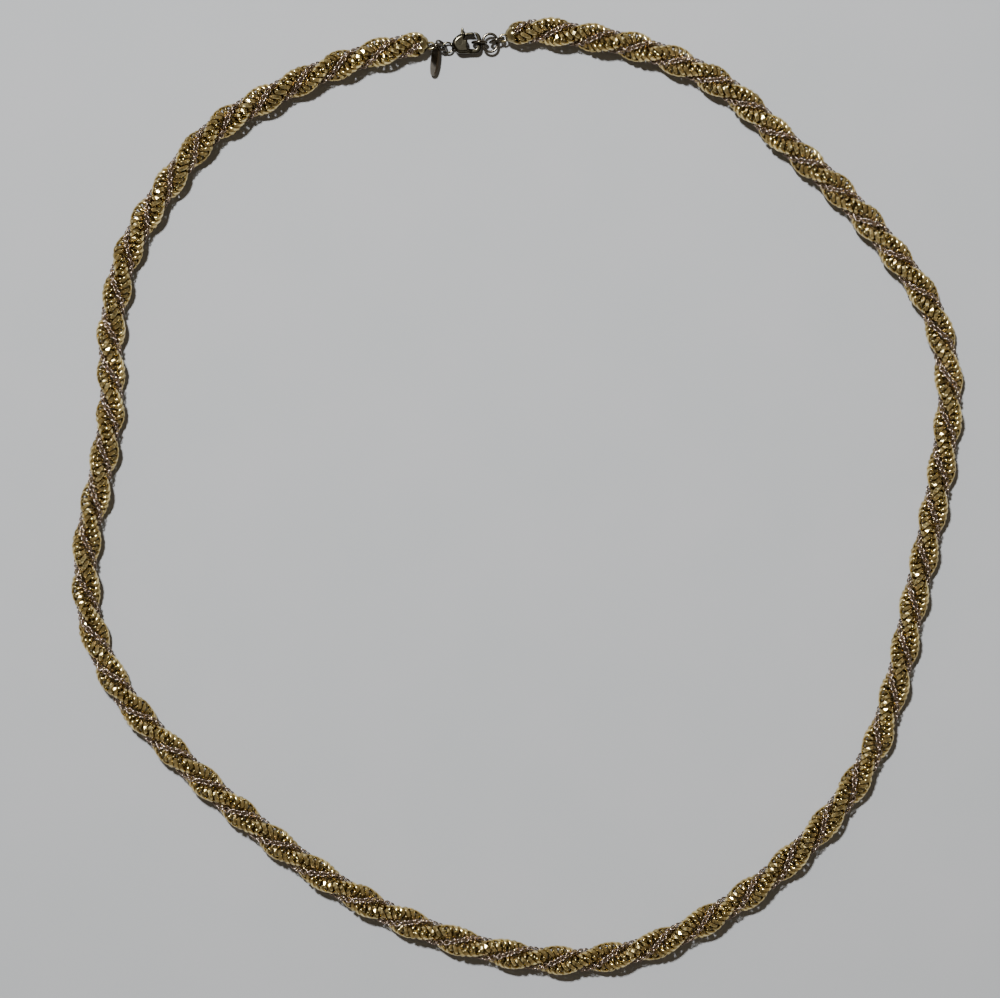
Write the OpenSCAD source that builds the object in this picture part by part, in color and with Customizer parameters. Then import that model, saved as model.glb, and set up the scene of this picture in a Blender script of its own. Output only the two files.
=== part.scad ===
// Rope chain necklace, 24 inch, fastened and laid out in an open oval loop
// All sizes are in millimetres, +Z is up and the surface it lies on is at Z = 0

/* [Rope] */
// Radius of each thick strand
thick_r = 1.6; // [1.4:0.05:1.6]
// Radius of each fine strand
fine_r = 0.7; // [0.5:0.05:0.75]
// Clear space between neighbouring strands
strand_gap = 0.1; // [0.06:0.02:0.2]

/* [End caps] */
// Radius of the soldered cap at each rope end
cap_r = 2.6; // [2.2:0.1:2.8]
// Thickness of the wire of each cap's eye
eye_wire = 0.5; // [0.4:0.02:0.5]

/* [Rings at the hook] */
// Outer diameter of the two upright rings
link_od = 3.6; // [3.6:0.1:3.8]
// Wire thickness of the three rings at the hook
link_wire = 0.6; // [0.5:0.02:0.6]
// Width of the oval ring along the chain
oval_w = 3.6; // [3.6:0.05:3.8]
// Length of the oval ring across the chain
oval_l = 4.5; // [4.2:0.1:4.8]
// Clear space between linked wires
link_gap = 0.08; // [0.06:0.02:0.1]

/* [Rings at the tail] */
// Wire thickness of the tag ring and the slanting ring
small_wire = 0.45; // [0.36:0.02:0.46]
// Radius of the tag ring's wire circle
tag_ring_r = 1.2; // [1.16:0.02:1.22]

/* [Tag] */
// Length of the plain oval tag
tag_l = 7.3; // [6:0.1:9]
// Width of the tag
tag_w = 2.8; // [2:0.1:2.8]
// Thickness of the tag's sheet
tag_t = 0.4; // [0.3:0.02:0.4]

/* [Clasp] */
// Thickness of the clasp's body at the rivet
clasp_t = 2.6; // [2.4:0.05:2.8]
// Thickness of the hook and of the lever's arm
hook_t = 1.3; // [1:0.05:1.3]
// Width of the hook's metal at its right end
hook_wall = 0.9; // [0.7:0.05:1]
// Radius of the rivet's shank
rivet_r = 0.3; // [0.2:0.02:0.36]
// Thickness of the lever's hub between the body's cheeks
lever_t = 0.8; // [0.6:0.05:1]

/* [Hidden] */

// Moves the whole loop so that its outline is centred on the origin
shift = [0.28, 0.2];

// Middle line of the rope, clockwise from its right end to its left end
// The first and the last point only steer the two ends
route = [[-17, 89],
    [-1, 99.5], [15, 99], [31, 95], [45.5, 87.5], [57.5, 76.5], [69.5, 65.5],
    [80.5, 53], [89.5, 39.5], [93, 23.5], [91.5, 7], [88.5, -9], [85, -25],
    [81.5, -41], [76, -56.5], [67, -70], [55.5, -81.5], [42, -91], [27, -98],
    [11, -100.5], [-5, -98.5], [-21, -93.5], [-35.5, -86.5], [-49, -77.5],
    [-62, -67], [-74, -56], [-85, -43.5], [-92, -29], [-93.5, -12.5], [-90.5, 3.5],
    [-88, 19.5], [-88, 36], [-84.5, 52], [-76.5, 66], [-66, 78.5], [-52, 87],
    [-37, 93.5], [-21, 97.5],
    [-6, 96.5]];
places = len(route) - 3;

// How tightly the rope is laid: half turns so far, place along the route
lay = [[0, 0], [11, 6.1], [21, 12.1], [31, 18.85], [36, 22.25], [41, 25.35],
    [46, 28.35], [51, 31.05], [60, places]];
half_turns = 60;
mean_turn = 19.7;
rings_per_half = 4;
strand_sides = 8;

// Distance of each strand's middle from the rope's middle line
thick_off = thick_r + strand_gap / 2;
// A slanting round strand is wider across, so both radii count a little more here
slant_share = 0.6;
slant_allowance = sqrt(1 + slant_share * pow(2 * PI * thick_off / mean_turn, 2));
fine_off = sqrt(pow(slant_allowance * (thick_r + fine_r) + 0.8 * strand_gap, 2) - thick_off * thick_off);
rope_z = thick_off + thick_r;

// Cubic through four neighbouring route points
function curve(p, q, r, s, t) = 0.5 * (2 * q + (r - p) * t
    + (2 * p - 5 * q + 4 * r - s) * t * t + (3 * q - p - 3 * r + s) * t * t * t);
function curve_slope(p, q, r, s, t) = 0.5 * ((r - p)
    + 2 * (2 * p - 5 * q + 4 * r - s) * t + 3 * (3 * q - p - 3 * r + s) * t * t);
function span(u) = min(max(floor(u), 0), places - 1);
function on_route(u) = let (i = span(u))
    curve(route[i], route[i + 1], route[i + 2], route[i + 3], u - i);
function heading(u) = let (i = span(u),
    d = curve_slope(route[i], route[i + 1], route[i + 2], route[i + 3], u - i)) d / norm(d);

// Clasp place: its rivet, the middle of its thickness and its eye
rivet_at = [-12.74, 97.91];
clasp_z = 1.45;
tail_at = [-2.56, -1.01];
tail_z = 1.2;
tail_r = 1.1;
tail_wire = 0.5;
// The lever turns inside this radius, and the hook's end stops just outside it
hook_edge = 4.73;
hollow_r = hook_edge - hook_wall;
lever_reach = hollow_r - 0.11;
hub_r = 0.85;

// Rings at the hook, worked out from the hook's right edge along the chain
link_r = (link_od - link_wire) / 2;
hook_ring_z = link_od / 2;
oval_z = hook_ring_z + 0.1;
hook_x = rivet_at[0] + hook_edge;
oval_left = hook_x + link_gap + link_wire / 2;
oval_right = oval_left + oval_w - link_wire;
hook_ring_x = oval_left - (link_r - link_wire - link_gap);
cap_ring_turn = 18;
// How far the cap ring's middle lies above the rivet's line in the plan, and above the surface
cap_ring_rise = 0.45;
cap_ring_z = 2.2;
// The cap ring starts clear of the hook ring, and holds the cap's eye beside the oval ring
past_hook_ring = hook_ring_x + link_od / 2 + 3 * link_gap;
eye_beside_oval = oval_right + link_wire / 2 + 3 * link_gap + eye_wire;
cap_ring_start = max(past_hook_ring, eye_beside_oval - (link_od - link_wire) * cos(cap_ring_turn));
cap_ring_x = cap_ring_start + (link_od / 2) * cos(cap_ring_turn);
cap_ring_y = rivet_at[1] + cap_ring_rise;
right_eye = [cap_ring_x + link_r * cos(cap_ring_turn), cap_ring_y + link_r * sin(cap_ring_turn)];
right_eye_r = right_eye[0] - (oval_right + link_wire / 2 + link_gap + eye_wire / 2);
eye_z = 2.6;

// Rings at the tail: the tag ring from the rivet, and the slanting ring from the tag ring
tag_from_rivet = [-5.01, -0.76];
slant_from_tag = [1.08, 0.15, -0.84];
tag_ring_z = 2.6;
tag_ring_at = [rivet_at[0] + tag_from_rivet[0], rivet_at[1] + tag_from_rivet[1], tag_ring_z];
left_eye = [tag_ring_at[0] - tag_ring_r, tag_ring_at[1]];
left_eye_r = 0.7;
slant_at = tag_ring_at + slant_from_tag;
slant_r = 1.35;
slant_normal = [0.63, 0.58, 0.51];
tag_lean = 58;
tag_turn = -7;
tag_hole_r = 0.55;
tag_hole_in = 0.9;

// Cap bodies run from the strands' ends to just short of the rings in their eyes
cap_space = 0.12;
right_end = on_route(0);
right_dir = -heading(0);
left_end = on_route(places);
left_dir = heading(places);
cap_ring_end = [cap_ring_x + link_od / 2 * cos(cap_ring_turn), cap_ring_y + link_od / 2 * sin(cap_ring_turn)];
tag_ring_end = [tag_ring_at[0] - tag_ring_r - small_wire / 2, tag_ring_at[1]];
right_cap_l = (cap_ring_end - right_end) * right_dir - cap_space - link_gap;
left_cap_l = (tag_ring_end - left_end) * left_dir - cap_space - link_gap;
$fn = 48;

// One strand, a tube that winds round the rope's middle line
// The turn falls with distance, so the rope is laid to the left
module strand(first_turn, off, r) {
    slant = sqrt(1 + pow(2 * PI * off / mean_turn, 2));
    rings = half_turns * rings_per_half + 1;
    points = [for (j = [0 : rings - 1])
        let (h = j / rings_per_half, u = lookup(h, lay), at = on_route(u), way = heading(u),
            side = [-way[1], way[0], 0], turn = first_turn - 180 * h)
        for (i = [0 : strand_sides - 1])
            let (a = 360 * i / strand_sides, out = off + r * cos(a), round = r * slant * sin(a),
                across = out * cos(turn) - round * sin(turn),
                up = out * sin(turn) + round * cos(turn))
            [at[0] + side[0] * across, at[1] + side[1] * across, rope_z + up]];
    faces = concat(
        [for (j = [0 : rings - 2]) for (i = [0 : strand_sides - 1]) for (half = [0, 1])
            let (k = (i + 1) % strand_sides, a = j * strand_sides, b = a + strand_sides)
            half == 0 ? [a + i, b + i, b + k] : [a + i, b + k, a + k]],
        [[for (i = [0 : strand_sides - 1]) i]],
        [[for (i = [strand_sides - 1 : -1 : 0]) (rings - 1) * strand_sides + i]]);
    polyhedron(points, faces, convexity = 10);
}

// A round wire ring that lies flat, centred on the origin
module wire_ring(r, wire) {
    rotate_extrude() translate([r, 0]) circle(d = wire, $fn = 24);
}

// A ring that stands on edge, its plane turned about the upright axis
module upright_ring(r, wire, turn) {
    rotate([0, 0, turn]) rotate([90, 0, 0]) wire_ring(r, wire);
}

// Solder-filled cap: half an egg with a flat back, along +X from its flat back
module cap_nose(len) {
    rotate([0, 90, 0]) rotate_extrude()
        polygon(concat([[0, 0]], [for (a = [0 : 6 : 90]) [cap_r * cos(a), len * sin(a)]]));
}

module end_cap(end, dir, len, eye, eye_r) {
    translate([end[0] + cap_space * dir[0], end[1] + cap_space * dir[1], rope_z])
        rotate([0, 0, atan2(dir[1], dir[0])]) cap_nose(len);
    translate([eye[0], eye[1], eye_z]) wire_ring(eye_r, eye_wire);
}

module strand_thick_a() {
    color("darkgoldenrod") strand(0, thick_off, thick_r);
}

module strand_thick_b() {
    color("darkgoldenrod") strand(180, thick_off, thick_r);
}

module strand_fine_a() {
    color("rosybrown") strand(90, fine_off, fine_r);
}

module strand_fine_b() {
    color("rosybrown") strand(270, fine_off, fine_r);
}

module end_cap_left() {
    color("goldenrod") end_cap(left_end, left_dir, left_cap_l, left_eye, left_eye_r);
}

module end_cap_right() {
    color("goldenrod") end_cap(right_end, right_dir, right_cap_l, right_eye, right_eye_r);
}

module tag_ring() {
    color("olive") translate(tag_ring_at) upright_ring(tag_ring_r, small_wire, 0);
}

// Plain oval plate with one hole, leaning on its long edge under the tag ring
module hang_tag() {
    fullness = 0.85;
    outline = [for (a = [0 : 9 : 351])
        let (c = cos(a), s = sin(a))
        [tag_w / 2 * sign(c) * pow(abs(c), fullness), tag_l / 2 * sign(s) * pow(abs(s), fullness)]];
    color("olive") translate([tag_ring_at[0], tag_ring_at[1], tag_ring_at[2] - tag_ring_r])
        rotate([0, 0, tag_turn]) rotate([0, -tag_lean, 0])
            translate([0, tag_hole_in - tag_l / 2, -tag_t / 2]) difference() {
                linear_extrude(tag_t) polygon(outline);
                translate([0, tag_l / 2 - tag_hole_in, -1]) cylinder(r = tag_hole_r, h = tag_t + 2);
            }
}

// Turns the ring's axis from upright to its slanting direction
module slant_ring() {
    lean = acos(slant_normal[2] / norm(slant_normal));
    color("olive") translate(slant_at)
        rotate([0, 0, atan2(slant_normal[1], slant_normal[0])]) rotate([0, lean, 0])
            wire_ring(slant_r, small_wire);
}

// Outline of the hook and body together, seen from above, about the rivet
module clasp_outline() {
    hull() {
        translate([0.15, -0.25]) circle(r = 1.75, $fn = 32);
        translate([0.3, -1.05]) circle(r = 1.4, $fn = 32);
        translate([hook_edge - 1.35, -1.05]) circle(r = 1.35, $fn = 32);
        translate([hook_edge - 1.6, 0.75]) circle(r = 1.55, $fn = 32);
        translate([1.2, 0.7]) circle(r = 1.4, $fn = 32);
    }
}

// The thick lobe round the rivet
module clasp_lobe(inset) {
    hull() {
        translate([0.15, -0.25]) circle(r = 1.75 - inset, $fn = 32);
        translate([0.3, -1.05]) circle(r = 1.4 - inset, $fn = 32);
        translate([0.5, 0.5]) circle(r = 1.4 - inset, $fn = 32);
        translate([1.4, -1.25]) circle(r = 1.1 - inset, $fn = 32);
    }
}

// Open space inside the hook, with room for the lever's swing
module clasp_hollow() {
    intersection() {
        circle(r = hollow_r);
        union() {
            translate([1.75, -1.36]) square([3, 2.9]);
            translate([0.95, 0.6]) square([4, 3]);
        }
    }
}

module clasp_body() {
    edge = 0.35;
    color("darkolivegreen") translate([rivet_at[0], rivet_at[1], clasp_z]) {
        difference() {
            union() {
                translate([0, 0, -hook_t / 2]) linear_extrude(hook_t) clasp_outline();
                translate([0, 0, edge - clasp_t / 2]) linear_extrude(clasp_t - 2 * edge) clasp_lobe(0);
                translate([0, 0, -clasp_t / 2]) linear_extrude(clasp_t) clasp_lobe(edge);
                translate([tail_at[0], tail_at[1], tail_z - clasp_z]) wire_ring(tail_r, tail_wire);
            }
            translate([0, 0, -3]) linear_extrude(6) clasp_hollow();
            // Slot for the lever's hub and thumb tab
            translate([0, 0, -lever_t / 2 - link_gap]) linear_extrude(lever_t + 2 * link_gap) {
                circle(r = hub_r + 0.1);
                translate([0.02, -0.5]) square([1.4, 4.5]);
            }
            translate([0, 0, -3]) cylinder(r = rivet_r + 0.03, h = 6);
        }
    }
}

// Hub, arm and thumb tab of the lever, about the rivet
module clasp_lever() {
    arm_low = 1.46;
    color("darkolivegreen") translate([rivet_at[0], rivet_at[1], clasp_z]) difference() {
        union() {
            translate([0, 0, -lever_t / 2]) linear_extrude(lever_t) {
                circle(r = hub_r);
                polygon([[0.12, 0], [hub_r, 0], [1.3, arm_low], [1.3, 2.1], [0.12, 2.0]]);
                polygon([[0.12, 1.5], [0.95, 1.5], [0.95, 2.3], [0.9, 3.1], [0.62, 3.3], [0.36, 3.2]]);
            }
            translate([0, 0, -hook_t / 2]) linear_extrude(hook_t) intersection() {
                translate([1.05, arm_low]) square([3, 2]);
                circle(r = lever_reach);
                clasp_outline();
            }
        }
        translate([0, 0, -3]) cylinder(r = rivet_r + 0.05, h = 6);
    }
}

// Shank with a low round head on each face
module clasp_rivet() {
    head_t = 0.13;
    color("olive") translate([rivet_at[0], rivet_at[1], clasp_z]) {
        cylinder(r = rivet_r, h = clasp_t + 0.1, center = true);
        for (side = [-1, 1])
            translate([0, 0, side * (clasp_t / 2 + 0.02 + head_t / 2)])
                cylinder(r = rivet_r * 1.9, h = head_t, center = true);
    }
}

module hook_ring() {
    color("olive") translate([hook_ring_x, rivet_at[1], hook_ring_z])
        upright_ring(link_r, link_wire, 0);
}

// Oval ring that lies flat: two half rings joined by two straight wires
module oval_ring() {
    bend_r = (oval_w - link_wire) / 2;
    straight = oval_l - oval_w;
    color("olive") translate([(oval_left + oval_right) / 2, rivet_at[1] - 0.06, oval_z]) {
        for (end = [0, 180])
            rotate([0, 0, end]) translate([0, straight / 2, 0])
                rotate_extrude(angle = 180) translate([bend_r, 0]) circle(d = link_wire, $fn = 24);
        for (side = [-1, 1])
            translate([side * bend_r, 0, 0]) rotate([90, 0, 0])
                cylinder(d = link_wire, h = straight, center = true, $fn = 24);
    }
}

module cap_ring() {
    color("olive") translate([cap_ring_x, cap_ring_y, cap_ring_z])
        upright_ring(link_r, link_wire, cap_ring_turn);
}

translate([shift[0], shift[1], 0]) {
    strand_thick_a();
    strand_thick_b();
    strand_fine_a();
    strand_fine_b();
    end_cap_left();
    end_cap_right();
    tag_ring();
    hang_tag();
    slant_ring();
    clasp_body();
    clasp_lever();
    clasp_rivet();
    hook_ring();
    oval_ring();
    cap_ring();
}
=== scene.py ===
"""Rope chain necklace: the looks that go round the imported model.

The rope and its ends are in millimetres, as in the part's source, until a mesh is made. The floor,
the lamp and the camera are in metres.
"""
import math

import bpy
import numpy as np
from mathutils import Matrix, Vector


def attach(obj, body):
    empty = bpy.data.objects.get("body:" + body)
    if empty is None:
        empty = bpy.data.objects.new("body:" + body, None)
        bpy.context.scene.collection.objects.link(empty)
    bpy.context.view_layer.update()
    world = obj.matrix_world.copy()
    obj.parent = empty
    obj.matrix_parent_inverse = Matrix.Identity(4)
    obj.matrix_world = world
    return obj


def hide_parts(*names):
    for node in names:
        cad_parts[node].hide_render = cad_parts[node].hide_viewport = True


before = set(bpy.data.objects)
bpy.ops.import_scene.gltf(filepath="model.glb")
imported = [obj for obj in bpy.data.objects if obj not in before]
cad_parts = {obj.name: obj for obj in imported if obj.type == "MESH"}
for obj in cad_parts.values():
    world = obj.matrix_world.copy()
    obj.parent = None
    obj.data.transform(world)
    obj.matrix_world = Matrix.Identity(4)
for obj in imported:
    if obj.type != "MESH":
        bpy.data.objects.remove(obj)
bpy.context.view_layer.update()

MM = 0.001
UP = np.array([0, 0, 1])

# Moves the whole loop so that its outline is centred on the origin
SHIFT = np.array([0.28, 0.2])

# Middle line of the rope, the same points as the part's own route
# The first and the last point only steer the two ends
ROUTE = np.array([
    [-17, 89],
    [-1, 99.5], [15, 99], [31, 95], [45.5, 87.5], [57.5, 76.5], [69.5, 65.5],
    [80.5, 53], [89.5, 39.5], [93, 23.5], [91.5, 7], [88.5, -9], [85, -25],
    [81.5, -41], [76, -56.5], [67, -70], [55.5, -81.5], [42, -91], [27, -98],
    [11, -100.5], [-5, -98.5], [-21, -93.5], [-35.5, -86.5], [-49, -77.5],
    [-62, -67], [-74, -56], [-85, -43.5], [-92, -29], [-93.5, -12.5], [-90.5, 3.5],
    [-88, 19.5], [-88, 36], [-84.5, 52], [-76.5, 66], [-66, 78.5], [-52, 87],
    [-37, 93.5], [-21, 97.5],
    [-6, 96.5]])
PLACES = len(ROUTE) - 3

# How tightly the rope is laid: half turns so far, place along the route
LAY = np.array([[0, 0], [11, 6.1], [21, 12.1], [31, 18.85], [36, 22.25], [41, 25.35],
                [46, 28.35], [51, 31.05], [60, PLACES]])
HALF_TURNS = 60
MEAN_TURN = 19.7

# Cross-section of the rope, with the strands' distances from its middle, as in the part's source
THICK_R = 1.6
FINE_R = 0.7
STRAND_GAP = 0.1
FINE_GAP = 0.8 * STRAND_GAP
THICK_OFF = THICK_R + STRAND_GAP / 2
# A slanting round strand is wider across, so both radii count a little more here
SLANT_SHARE = 0.6
SLANT_ALLOWANCE = math.sqrt(1 + SLANT_SHARE * (2 * math.pi * THICK_OFF / MEAN_TURN) ** 2)
FINE_OFF = math.sqrt((SLANT_ALLOWANCE * (THICK_R + FINE_R) + FINE_GAP) ** 2 - THICK_OFF ** 2)
ROPE_Z = THICK_OFF + THICK_R

# Turn of each strand round the rope at its first end, in degrees
THICK_TURNS = {"a": 0, "b": 180}
FINE_TURNS = {"a": 90, "b": 270}

# Seeds of the small random turns and tones in strand a, while strand b has the next one
THICK_SEED = 11
FINE_SEED = 21

# How much narrower the rope is drawn in at its two ends, and over what run
PINCH = 0.28
PINCH_RUN = 4.5

# Rope ends: which end of the line, heading, length of the wide nose, and the eye's middle and radius
CAPS = {
    "left": {"place": -1, "heading": (0.995, 0.096), "length": 1.58,
             "eye": (-18.95, 97.15), "eye_r": 0.7},
    "right": {"place": 0, "heading": (-0.954, -0.298), "length": 1.87,
              "eye": (-3.27, 98.82), "eye_r": 0.73}}

# Round noses at the strands' ends: the strands' distance out and turns, the nose's radius and length
NOSES = (
    {"off": THICK_OFF, "turns": THICK_TURNS, "radius": 1.5, "length": 1.1},
    {"off": FINE_OFF, "turns": FINE_TURNS, "radius": 0.6, "length": 0.6})


# Route and strands

def on_route(place):
    """Point of the rope's middle line at each place, on a cubic through four route points."""
    i = np.clip(np.floor(place).astype(int), 0, PLACES - 1)
    t = (place - i)[:, None]
    p, q, r, s = (ROUTE[i + k] for k in range(4))
    return 0.5 * (2 * q + (r - p) * t + (2 * p - 5 * q + 4 * r - s) * t ** 2
                  + (3 * q - p - 3 * r + s) * t ** 3)


def unit(v):
    return v / np.linalg.norm(v, axis=-1, keepdims=True)


class Strand:
    """A strand's middle line with the directions out of the rope and across the strand."""

    def __init__(self, first_turn, off, samples=6000):
        half = np.linspace(0, HALF_TURNS, samples)
        place = np.interp(half, LAY[:, 0], LAY[:, 1])
        at = on_route(place) + SHIFT
        way = unit(np.gradient(at, axis=0))
        side = np.c_[-way[:, 1], way[:, 0], np.zeros(samples)]
        turn = np.radians(first_turn - 180 * half)[:, None]
        self.out = side * np.cos(turn) + UP * np.sin(turn)
        self.axis = np.c_[at, np.full(samples, ROPE_Z)]
        self.line = self.axis + off * self.out
        self.ahead = unit(np.gradient(self.line, axis=0))
        self.across = unit(np.cross(self.ahead, self.out))
        step = np.linalg.norm(np.diff(self.line, axis=0), axis=1)
        self.run = np.r_[0, np.cumsum(step)]
        self.length = self.run[-1]
        from_end = np.minimum(self.run, self.length - self.run)
        self.pinch = 1 - PINCH * (1 - np.clip(from_end / PINCH_RUN, 0, 1)) ** 2

    def link_places(self, pitch, ends):
        """Where the links' middles lie along the strand, in a column, with room left at both ends."""
        links = int(round((self.length - 2 * ends) / pitch)) + 1
        return np.linspace(ends, self.length - ends, links)[:, None]

    def read(self, table, run):
        """The table's row at each run along the strand."""
        return np.stack([np.interp(run, self.run, table[:, k]) for k in range(3)], axis=-1)

    def place(self, across, out, along):
        """Point of the strand's own space, bent along the strand and drawn in at the rope's ends."""
        point = (self.read(self.line, along) + out[..., None] * unit(self.read(self.out, along))
                 + across[..., None] * unit(self.read(self.across, along)))
        middle = self.read(self.axis, along)
        return middle + (point - middle) * np.interp(along, self.run, self.pinch)[..., None]


def tubes(centres, normals, radius, sides):
    """Closed tubes round the rows of centres, the radius one value or one for each step."""
    links, steps, _ = centres.shape
    ahead = unit(np.roll(centres, -1, axis=1) - np.roll(centres, 1, axis=1))
    up = unit(normals - (normals * ahead).sum(-1, keepdims=True) * ahead)
    side = np.cross(ahead, up)
    angle = 2 * np.pi * np.arange(sides) / sides
    ring = np.cos(angle)[:, None] * side[:, :, None] + np.sin(angle)[:, None] * up[:, :, None]
    ring = ring * np.broadcast_to(radius, steps)[:, None, None]
    vertices = centres[:, :, None] + ring
    link, step, edge = np.meshgrid(np.arange(links), np.arange(steps), np.arange(sides), indexing="ij")
    after, beside = (step + 1) % steps, (edge + 1) % sides

    def number(at_step, at_edge):
        return (link * steps + at_step) * sides + at_edge

    corners = [number(after, edge), number(after, beside), number(step, beside), number(step, edge)]
    quads = np.stack(corners, -1)
    return vertices.reshape(-1, 3), quads.reshape(-1, 4)


def make_mesh(name, vertices, quads, attributes, facets=None):
    """A smooth mesh in metres with float attributes on its points. Facets are the faces left flat."""
    mesh = bpy.data.meshes.new(name)
    mesh.vertices.add(len(vertices))
    mesh.vertices.foreach_set("co", (vertices * MM).astype(np.float32).ravel())
    mesh.loops.add(quads.size)
    mesh.loops.foreach_set("vertex_index", quads.astype(np.int32).ravel())
    mesh.polygons.add(len(quads))
    mesh.polygons.foreach_set("loop_start", np.arange(0, quads.size, 4, dtype=np.int32))
    mesh.update(calc_edges=True)
    mesh.shade_smooth()
    if facets is not None:
        mesh.polygons.foreach_set("use_smooth", ~facets)
    for key, values in attributes.items():
        mesh.attributes.new(key, "FLOAT", "POINT").data.foreach_set("value", values.astype(np.float32))
    mesh.validate()
    piece = bpy.data.objects.new(name, mesh)
    bpy.context.scene.collection.objects.link(piece)
    return piece


def strand_attributes(strand, vertices, tone, rng, reach):
    """How dark each point is painted, with painted shade and patina in the hollows and painted shade low
    down, and its tone.

    The tone has a row for each link and a column for each of its rings, or one for them all.
    """
    # The most painted shade low down, with the height to which it stays and the rise over which it fades
    low_shade, low_from, low_fade = 0.45, -0.1, 0.55
    tone_spread = 0.12
    links = len(tone)
    per_link = len(vertices) // links
    run = np.repeat(np.linspace(0, strand.length, links), per_link)
    axis = strand.read(strand.axis, run)
    far = np.linalg.norm(vertices - axis, axis=1)
    # Painted shade with patina: the nearer a point lies to the rope's middle, the darker it is
    deep = np.clip((reach - far) / reach, 0, 1)
    height = (vertices[:, 2] - ROPE_Z) / reach
    # Painted shade: points low on the rope are darker still
    deep = np.maximum(deep, low_shade * (1 - np.clip((height - low_from) / low_fade, 0, 1)))
    tone = np.clip(tone + rng.normal(0, tone_spread, links)[:, None], 0, 1)
    return {"deep": deep, "tone": np.repeat(tone.ravel(), per_link // tone.shape[1])}


def thick_strand(name, first_turn, seed):
    """Oval links, each set out to the other side from the last and each through the next.

    The sides to which they are set out turn slowly along the strand.
    """
    # Wire thickness, the share of it that the low side has, and what the crest has on top
    wire, base, swell = 0.6, 1.06, 0.37
    # Half the link's width and depth, and how far its middle is set out
    wide, deep, offset = 1.198, 0.751, 0.52
    # Distance between neighbours, run of one full turn, and room at the strand's two ends
    pitch, full_turn, ends = 0.465, 3.72, 0.5
    # Degrees by which links lean along the strand, and by which lean and turn vary
    lean, loose_lean, loose_turn = 27, 2, 4
    # Radius to which links are cut, and the height on a link from which its outer side is left flat
    cut_r, flat_from = 1.54, 0.2
    # Tone at the low side, and how much it rises to the crest: partly polish, partly a painted highlight
    # on the crest and painted shade at the ends
    low_tone, tone_rise = 0.15, 0.7
    steps, sides, outer_side = 12, 5, 2
    strand = Strand(first_turn, THICK_OFF)
    start = strand.link_places(pitch, ends)
    links = len(start)
    rng = np.random.default_rng(seed)
    skew = np.radians(lean + rng.uniform(-loose_lean, loose_lean, links))[:, None]
    turn = -np.arange(links)[:, None] * (np.pi + 2 * np.pi * pitch / full_turn)
    turn = turn + np.radians(rng.uniform(-loose_turn, loose_turn, links))[:, None]
    angle = 2 * np.pi * np.arange(steps) / steps
    c, s = np.cos(angle), np.sin(angle)
    crest = np.clip(c, 0, 1)
    away, beside = offset + deep * c, wide * np.cos(skew) * s
    x = away * np.sin(turn) + beside * np.cos(turn)
    y = away * np.cos(turn) - beside * np.sin(turn)
    z = start + wide * np.sin(skew) * s
    normal = np.stack([-np.sin(skew) * np.cos(turn), np.sin(skew) * np.sin(turn), np.cos(skew)], -1)
    thick = wire / 2 * (base + swell * crest)
    vertices, quads = tubes(np.stack([x, y, z], -1), np.broadcast_to(normal, (*x.shape, 3)), thick, sides)
    far = np.hypot(vertices[:, 0], vertices[:, 1])
    vertices[:, :2] *= np.minimum(1, cut_r / far)[:, None]
    vertices = strand.place(vertices[:, 0], vertices[:, 1], vertices[:, 2])
    # Lighter crests and darker ends: polish, with painted highlight and painted shade
    tone = np.broadcast_to(low_tone + tone_rise * crest, x.shape)
    facts = strand_attributes(strand, vertices, tone, rng, THICK_OFF + THICK_R)
    outer = np.arange(sides) == outer_side
    facets = (outer & (c > flat_from)[:, None])[None].repeat(links, 0).ravel()
    # The strand's own space is left-handed, so its faces are turned round
    return make_mesh(name, vertices, quads[:, ::-1], facts, facets)


def fine_strand(name, first_turn, seed):
    """Small oval links, each turned a quarter from the last."""
    # Wire thickness, and half the link's length and width
    wire, long_r, wide_r = 0.29, 0.65, 0.555
    # Distance between neighbours, and room at the strand's two ends
    pitch, ends = 0.82, 0.75
    # Degrees by which the first link is turned, by which the next is turned more, and by which turns vary
    first_roll, next_roll, loose_roll = 45, 90, 8
    plain_tone = 0.6
    steps, sides = 12, 5
    strand = Strand(first_turn, FINE_OFF)
    start = strand.link_places(pitch, ends)
    links = len(start)
    rng = np.random.default_rng(seed)
    loose = rng.uniform(-loose_roll, loose_roll, links)
    roll = np.radians(first_roll + next_roll * (np.arange(links) % 2) + loose)[:, None]
    angle = 2 * np.pi * np.arange(steps) / steps
    wide = wide_r * np.sin(angle)
    centres = strand.place(wide * np.sin(roll), wide * np.cos(roll), start + long_r * np.cos(angle))
    middle = np.broadcast_to(start, (links, steps))
    normals = (np.cos(roll)[..., None] * strand.read(strand.across, middle)
               - np.sin(roll)[..., None] * strand.read(strand.out, middle))
    vertices, quads = tubes(centres, normals, wire / 2, sides)
    tone = np.full((links, 1), plain_tone)
    facts = strand_attributes(strand, vertices, tone, rng, FINE_OFF + FINE_R)
    return make_mesh(name, vertices, quads, facts)


# End caps and other softened pieces

def dome(start, heading, radius, length):
    """Half an ellipsoid with a flat back. Gives vertices and faces."""
    rows, columns = 10, 32
    share = np.linspace(0, 1, rows, endpoint=False)[:, None]
    angle = 2 * np.pi * np.arange(columns) / columns
    heading = unit(heading)
    side = unit(np.cross(UP, heading))
    ring = np.cos(angle)[:, None] * side + np.sin(angle)[:, None] * np.cross(heading, side)
    wide = radius * np.sqrt(1 - share ** 2)
    sheet = start + (length * share)[..., None] * heading + wide[..., None] * ring
    vertices = np.concatenate([sheet.reshape(-1, 3), [start + length * heading]])
    faces = [list(range(columns))[::-1]]
    for row in range(rows - 1):
        for k in range(columns):
            low, high = row * columns, (row + 1) * columns
            beside = (k + 1) % columns
            faces.append([low + k, low + beside, high + beside, high + k])
    last = (rows - 1) * columns
    faces += [[last + k, last + (k + 1) % columns, rows * columns] for k in range(columns)]
    return vertices, faces


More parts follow.
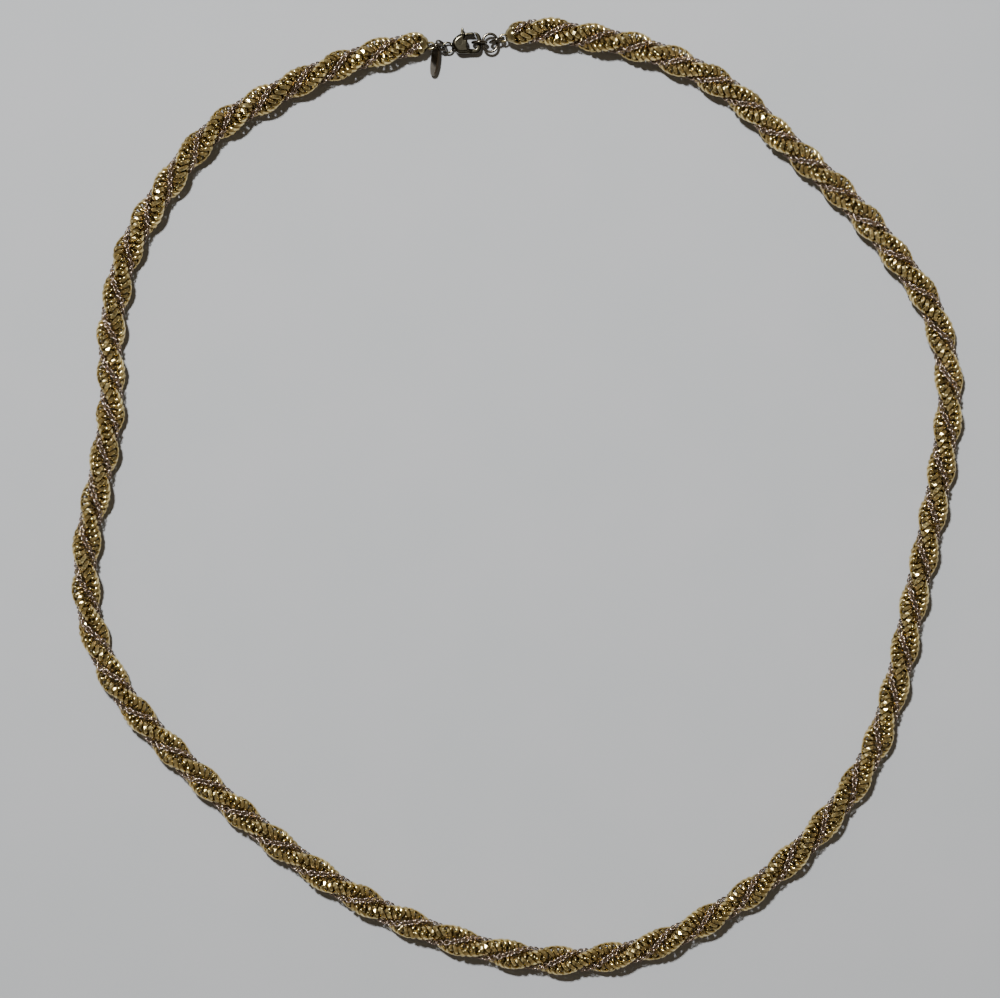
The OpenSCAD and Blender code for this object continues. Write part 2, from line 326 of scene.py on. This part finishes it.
def end_cap(name, place, heading, length, eye, eye_r):
    """A round nose over each strand's end and a wider one over them all, with the wire eye."""
    # Radius and start of the wide nose, and how far back the strands' own noses start
    cap_r, cap_space, sunk = 2.45, 0.12, 0.25
    eye_wire, eye_z = 0.5, 2.6
    eye_steps, eye_sides = 28, 12
    narrow = 1 - PINCH
    # The line starts at the right cap, so the strands run outward only at the left one
    way = 1 if place else -1
    heading = np.array([*heading, 0.0])
    middle = Strand(0, THICK_OFF).axis[place]
    shapes = [dome(middle + cap_space * unit(heading), heading, cap_r * narrow, length)]
    for nose in NOSES:
        for turn in nose["turns"].values():
            strand = Strand(turn, nose["off"])
            ahead = way * strand.ahead[place]
            start = middle + narrow * (strand.line[place] - middle) - sunk * ahead
            shapes.append(dome(start, ahead, nose["radius"] * narrow, nose["length"]))
    angle = 2 * np.pi * np.arange(eye_steps) / eye_steps
    centre = np.array([*(SHIFT + eye), eye_z])
    loop = centre + eye_r * np.stack([np.cos(angle), np.sin(angle), 0 * angle], -1)
    wire, quads = tubes(loop[None], np.broadcast_to(UP, (1, eye_steps, 3)), eye_wire / 2, eye_sides)
    shapes.append((wire, quads.tolist()))
    vertices, faces = [], []
    for points, around in shapes:
        faces += [[k + len(vertices) for k in face] for face in around]
        vertices += (points * MM).tolist()
    mesh = bpy.data.meshes.new(name)
    mesh.from_pydata(vertices, [], faces)
    return softened(name, mesh, rounds=8)


def softened(name, mesh, rounds, voxel=0.08):
    """One closed skin over the mesh, with its edges rounded off."""
    piece = bpy.data.objects.new(name, mesh)
    bpy.context.scene.collection.objects.link(piece)
    even = piece.modifiers.new("even", "REMESH")
    even.mode = "VOXEL"
    even.voxel_size = voxel * MM
    soft = piece.modifiers.new("soft", "SMOOTH")
    soft.factor = 0.5
    soft.iterations = rounds
    bpy.context.view_layer.update()
    made = bpy.data.meshes.new_from_object(piece.evaluated_get(bpy.context.evaluated_depsgraph_get()))
    piece.modifiers.clear()
    piece.data = made
    made.shade_smooth()
    made.materials.clear()
    return piece


# Materials

def node(tree, kind, x, y, **values):
    """A shader node at a place in the tree. Each value is a property or, with spaces, an input."""
    made = tree.nodes.new(kind)
    made.location = (x, y)
    for key, value in values.items():
        if hasattr(made, key):
            setattr(made, key, value)
        else:
            made.inputs[key.replace("_", " ")].default_value = value
    return made


def ramp(tree, source, x, y, stops):
    """Colour ramp over a value, with stops of place and colour."""
    made = node(tree, "ShaderNodeValToRGB", x, y)
    band = made.color_ramp
    while len(band.elements) < len(stops):
        band.elements.new(0.5)
    for element, (place, colour) in zip(band.elements, stops):
        element.position = place
        element.color = (*colour, 1)
    tree.links.new(source, made.inputs["Fac"])
    return made.outputs["Color"]


def mixed(tree, kind, factor, first, second, x, y):
    """Two colours mixed. A factor, first or second may be a socket or a value."""
    made = node(tree, "ShaderNodeMix", x, y, data_type="RGBA", blend_type=kind)
    # The node's inputs 6 and 7 and its output 2 are the ones for colours
    factor_socket, first_socket, second_socket = (made.inputs[k] for k in (0, 6, 7))
    for socket, value in ((factor_socket, factor), (first_socket, first), (second_socket, second)):
        if isinstance(value, bpy.types.NodeSocket):
            tree.links.new(value, socket)
        else:
            socket.default_value = value if socket.type == "VALUE" else (*value, 1)
    return made.outputs[2]


def noise(tree, place, x, y, scale, detail):
    """Cloudy noise over a place in metres."""
    made = node(tree, "ShaderNodeTexNoise", x, y, Scale=scale, Detail=detail)
    tree.links.new(place, made.inputs["Vector"])
    return made.outputs["Fac"]


def metal(name, bright, plain, worn_and_shade, rough, scratch, bumps, is_link=False):
    """Worn brass: patches are bright or plain, and a darker colour shows in its grain as wear.

    Links also take that darker colour where they lie deep or low, as painted shade with patina in the
    hollows. Their tone varies from link to link and, on thick links, along each link.
    """
    wear = 0.5
    grain_depth = 0.04 * MM
    material = bpy.data.materials.new(name)
    material.use_nodes = True
    tree = material.node_tree
    shader = tree.nodes["Principled BSDF"]
    shader.inputs["Metallic"].default_value = 1.0
    place = node(tree, "ShaderNodeTexCoord", -1400, 0).outputs["Object"]
    patches = noise(tree, place, -1200, 200, scale=900, detail=3)
    grain = noise(tree, place, -1200, -100, scale=5200, detail=4)
    colour = ramp(tree, patches, -1000, 300, [(0.32, plain), (0.62, bright)])
    spots = ramp(tree, grain, -1000, 0, [(0.42, (0, 0, 0)), (0.74, (1, 1, 1))])
    spotted = mixed(tree, "MIX", wear, colour, worn_and_shade, -800, -60)
    colour = mixed(tree, "MIX", spots, colour, spotted, -600, 200)
    if is_link:
        # Painted shade with patina: the darker colour mixed in where links lie deep or low
        deep = node(tree, "ShaderNodeAttribute", -1200, -400, attribute_name="deep")
        hollow_shade = ramp(tree, deep.outputs["Fac"], -1000, -400, [(0.16, (0, 0, 0)), (0.52, (1, 1, 1))])
        colour = mixed(tree, "MIX", hollow_shade, colour, worn_and_shade, -400, 100)
        # Tone: random from link to link, and on thick links lighter at each crest, partly polish and
        # partly painted highlight and shade
        tone = node(tree, "ShaderNodeAttribute", -1200, -650, attribute_name="tone")
        stops = [(0.0, (0.5, 0.48, 0.42)), (1.0, (1.15, 1.12, 1.08))]
        lift = ramp(tree, tone.outputs["Fac"], -1000, -650, stops)
        colour = mixed(tree, "MULTIPLY", 1.0, colour, lift, -200, 100)
    tree.links.new(colour, shader.inputs["Base Color"])
    gloss = node(tree, "ShaderNodeMapRange", -400, -200, To_Min=rough, To_Max=rough + scratch)
    tree.links.new(grain, gloss.inputs["Value"])
    tree.links.new(gloss.outputs["Result"], shader.inputs["Roughness"])
    relief = node(tree, "ShaderNodeBump", -200, -400, Strength=bumps, Distance=grain_depth)
    tree.links.new(grain, relief.inputs["Height"])
    tree.links.new(relief.outputs["Normal"], shader.inputs["Normal"])
    return material


gold = metal("gold_links", bright=(1.0, 0.845, 0.42), plain=(0.57, 0.44, 0.19), worn_and_shade=(0.64, 0.5, 0.215),
             rough=0.12, scratch=0.07, bumps=0.3, is_link=True)
rose_grey = metal("rose_grey_links", bright=(0.62, 0.5, 0.43), plain=(0.34, 0.26, 0.215),
                  worn_and_shade=(0.24, 0.185, 0.15), rough=0.2, scratch=0.08, bumps=0.2, is_link=True)
cap_gold = metal("cap_gold", bright=(0.5, 0.42, 0.21), plain=(0.3, 0.24, 0.115), worn_and_shade=(0.1, 0.075, 0.04),
                 rough=0.16, scratch=0.06, bumps=0.1)
rings = metal("ring_brass", bright=(0.15, 0.13, 0.095), plain=(0.09, 0.077, 0.056),
              worn_and_shade=(0.04, 0.033, 0.024), rough=0.14, scratch=0.05, bumps=0.1)
clasp = metal("clasp_brass", bright=(0.08, 0.07, 0.045), plain=(0.044, 0.038, 0.024),
              worn_and_shade=(0.024, 0.02, 0.014), rough=0.14, scratch=0.05, bumps=0.1)
tag = metal("tag_brass", bright=(0.22, 0.19, 0.15), plain=(0.14, 0.12, 0.09), worn_and_shade=(0.05, 0.04, 0.03),
            rough=0.16, scratch=0.06, bumps=0.1)


# Pieces

for seed, (letter, turn) in enumerate(THICK_TURNS.items(), THICK_SEED):
    piece = thick_strand("thick_links_" + letter, turn, seed)
    piece.data.materials.append(gold)
    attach(piece, "necklace")
    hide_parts("strand_thick_" + letter)

for seed, (letter, turn) in enumerate(FINE_TURNS.items(), FINE_SEED):
    piece = fine_strand("fine_links_" + letter, turn, seed)
    piece.data.materials.append(rose_grey)
    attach(piece, "necklace")
    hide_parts("strand_fine_" + letter)

for end, facts in CAPS.items():
    piece = end_cap("rope_end_" + end, **facts)
    piece.data.materials.append(cap_gold)
    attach(piece, "necklace")
    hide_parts("end_cap_" + end)

# The rings, the tag and the rivet keep the part's own meshes
NODE_METALS = {
    "tag_ring": rings, "hang_tag": tag, "slant_ring": rings, "clasp_rivet": clasp,
    "hook_ring": rings, "oval_ring": rings, "cap_ring": rings}
for name, material in NODE_METALS.items():
    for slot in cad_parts[name].material_slots:
        slot.material = material

# The clasp's cast body and lever, with soft edges
for part, body in (("body", "necklace"), ("lever", "lever")):
    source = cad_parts["clasp_" + part]
    mesh = source.data.copy()
    mesh.transform(source.matrix_world)
    piece = softened("soft_" + part, mesh, rounds=30)
    piece.data.materials.append(clasp)
    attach(piece, body)
    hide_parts("clasp_" + part)


# Floor, light and camera

def floor():
    """Pale matt surface, far wider than the picture, with faint clouds in its tint."""
    half = 3.0
    corners = [(-half, -half, 0), (half, -half, 0), (half, half, 0), (-half, half, 0)]
    mesh = bpy.data.meshes.new("floor")
    mesh.from_pydata(corners, [], [(0, 1, 2, 3)])
    piece = bpy.data.objects.new("floor", mesh)
    bpy.context.scene.collection.objects.link(piece)
    material = bpy.data.materials.new("pale_surface")
    material.use_nodes = True
    tree = material.node_tree
    shader = tree.nodes["Principled BSDF"]
    shader.inputs["Roughness"].default_value = 0.75
    place = node(tree, "ShaderNodeTexCoord", -900, 0).outputs["Object"]
    cloudy = noise(tree, place, -700, 0, scale=40, detail=3)
    tint = ramp(tree, cloudy, -500, 0, [(0.3, (0.37, 0.374, 0.37)), (0.7, (0.386, 0.382, 0.38))])
    tree.links.new(tint, shader.inputs["Base Color"])
    mesh.materials.append(material)


def area_light(name, place, aim, size, power, colour, spread=120):
    """A round lamp aimed at a point, in metres, watts and degrees."""
    data = bpy.data.lights.new(name, "AREA")
    data.shape = "DISK"
    data.size = size
    data.energy = power
    data.color = colour
    data.spread = math.radians(spread)
    lamp = bpy.data.objects.new(name, data)
    lamp.location = place
    lamp.rotation_euler = (Vector(aim) - Vector(place)).to_track_quat("-Z", "Y").to_euler()
    bpy.context.scene.collection.objects.link(lamp)


def studio():
    """Weak warm light from all round, dimmer overhead."""
    stops = [(0.0, (0.3, 0.265, 0.215)), (0.7, (0.19, 0.165, 0.13)), (0.97, (0.06, 0.053, 0.043))]
    world = bpy.data.worlds.new("studio")
    world.use_nodes = True
    tree = world.node_tree
    place = node(tree, "ShaderNodeTexCoord", -800, 0).outputs["Generated"]
    parts = node(tree, "ShaderNodeSeparateXYZ", -600, 0)
    tree.links.new(place, parts.inputs["Vector"])
    sky = ramp(tree, parts.outputs["Z"], -400, 0, stops)
    tree.links.new(sky, tree.nodes["Background"].inputs["Color"])
    tree.nodes["Background"].inputs["Strength"].default_value = 1.0
    bpy.context.scene.world = world


def camera():
    """Looks straight down. The picture is 216 mm wide at the rope's middle height."""
    pixel = 0.000216
    # The picture's width and middle and the place of the route's origin, in pixels of the photograph
    picture_width = 1000
    picture_middle = np.array([500, 499])
    route_origin = np.array([518.5, 495])
    distance, sensor = 0.75, 36.0
    right, down = (picture_middle - route_origin) * pixel
    data = bpy.data.cameras.new("camera")
    data.sensor_width = sensor
    data.lens = sensor * distance / (picture_width * pixel)
    data.clip_start, data.clip_end = 0.01, 20
    eye = bpy.data.objects.new("camera", data)
    eye.location = (right + SHIFT[0] * MM, SHIFT[1] * MM - down, ROPE_Z * MM + distance)
    bpy.context.scene.collection.objects.link(eye)
    bpy.context.scene.camera = eye


floor()
area_light("key", place=(-0.27, 0.56, 1.35), aim=(0, 0.07, 0), size=0.13, power=16.4,
           colour=(0.97, 1.0, 1.045))
studio()
camera()
